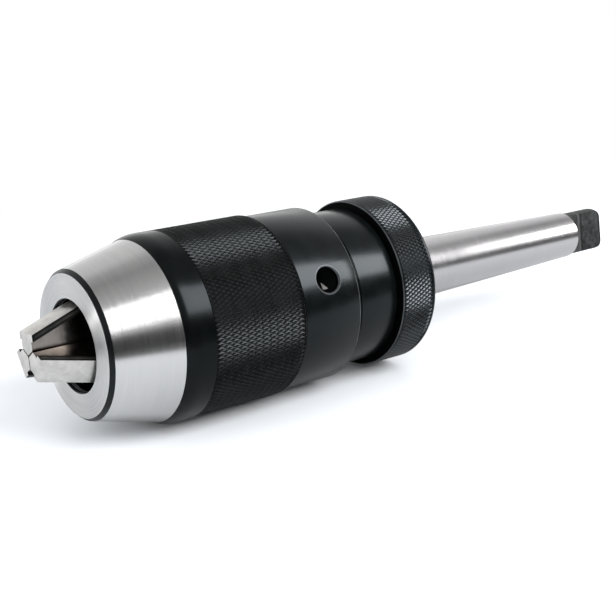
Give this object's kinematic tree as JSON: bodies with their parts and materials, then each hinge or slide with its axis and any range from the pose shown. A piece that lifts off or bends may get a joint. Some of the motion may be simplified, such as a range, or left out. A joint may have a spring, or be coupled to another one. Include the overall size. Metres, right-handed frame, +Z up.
{
  "type": "keyless drill chuck",
  "caption": "Keyless drill chuck with converging jaws, a knurled hood and grip ring, and a body integral with a tanged Morse taper shank.",
  "frame": {"origin": "centre of the Morse taper's gauge line, on the chuck's axis", "axes": "+Y along the axis from the jaws to the tang, +Z up, +X to the right seen from the shank's side of the jaws"},
  "size_m": [0.05, 0.2092, 0.05],
  "materials": {
    "ground_steel": "finely ground round the axis, bare steel",
    "black_oxide_steel": "satin black oxide, knurled where it is gripped",
    "jaw_steel": "hardened steel, ground and lightly oiled",
    "bearing_steel": "hardened and ground, bright",
    "bronze": "plain machined bronze",
    "seal_rubber": "plain moulded rubber"
  },
  "bodies": {
    "arbor": {"arbor": "ground_steel", "grip_ring": "black_oxide_steel", "grip_ring_pin": "bearing_steel", "front_race": "bearing_steel"},
    "sleeve": {"hood": "black_oxide_steel", "rear_sleeve": "black_oxide_steel", "jaw_guide": "black_oxide_steel", "rear_race": "bearing_steel", "sleeve_bushing": "bronze", "dust_seal": "seal_rubber"},
    "thrust_screw": {"thrust_screw": "bearing_steel"},
    "jaw_1": {"jaw_1": "jaw_steel"},
    "jaw_2": {"jaw_2": "jaw_steel"},
    "jaw_3": {"jaw_3": "jaw_steel"},
    "ball_cage": {"ball_cage": "bronze", "ball_01": "bearing_steel", "ball_02": "bearing_steel", "ball_03": "bearing_steel", "ball_04": "bearing_steel", "ball_05": "bearing_steel", "ball_06": "bearing_steel", "ball_07": "bearing_steel", "ball_08": "bearing_steel", "ball_09": "bearing_steel", "ball_10": "bearing_steel", "ball_11": "bearing_steel", "ball_12": "bearing_steel"}
  },
  "joints": [
    {"name": "sleeve_turn", "type": "hinge", "parent": "arbor", "child": "sleeve", "pos_m": [0, 0, 0], "axis": [0, -1, 0], "range_deg": [0, 2140]},
    {"name": "screw_feed", "type": "slide", "parent": "sleeve", "child": "thrust_screw", "axis": [0, 1, 0], "range_m": [0, 0.01784]},
    {"name": "jaw_1_slide", "type": "slide", "parent": "sleeve", "child": "jaw_1", "axis": [-0.0441, 0.9397, 0.3392], "range_m": [0, 0.01899]},
    {"name": "jaw_2_slide", "type": "slide", "parent": "sleeve", "child": "jaw_2", "axis": [-0.2717, 0.9397, -0.2077], "range_m": [0, 0.01899]},
    {"name": "jaw_3_slide", "type": "slide", "parent": "sleeve", "child": "jaw_3", "axis": [0.3158, 0.9397, -0.1314], "range_m": [0, 0.01899]},
    {"name": "cage_turn", "type": "hinge", "parent": "arbor", "child": "ball_cage", "pos_m": [0, 0, 0], "axis": [0, -1, 0], "range_deg": [0, 1070]}
  ],
  "couplings": [
    {"joint": "screw_feed", "follows": "sleeve_turn", "m_per_rad": 0.00047746},
    {"joint": "jaw_1_slide", "follows": "sleeve_turn", "m_per_rad": 0.00050811},
    {"joint": "jaw_2_slide", "follows": "sleeve_turn", "m_per_rad": 0.00050811},
    {"joint": "jaw_3_slide", "follows": "sleeve_turn", "m_per_rad": 0.00050811},
    {"joint": "cage_turn", "follows": "sleeve_turn", "ratio": 0.5}
  ]
}
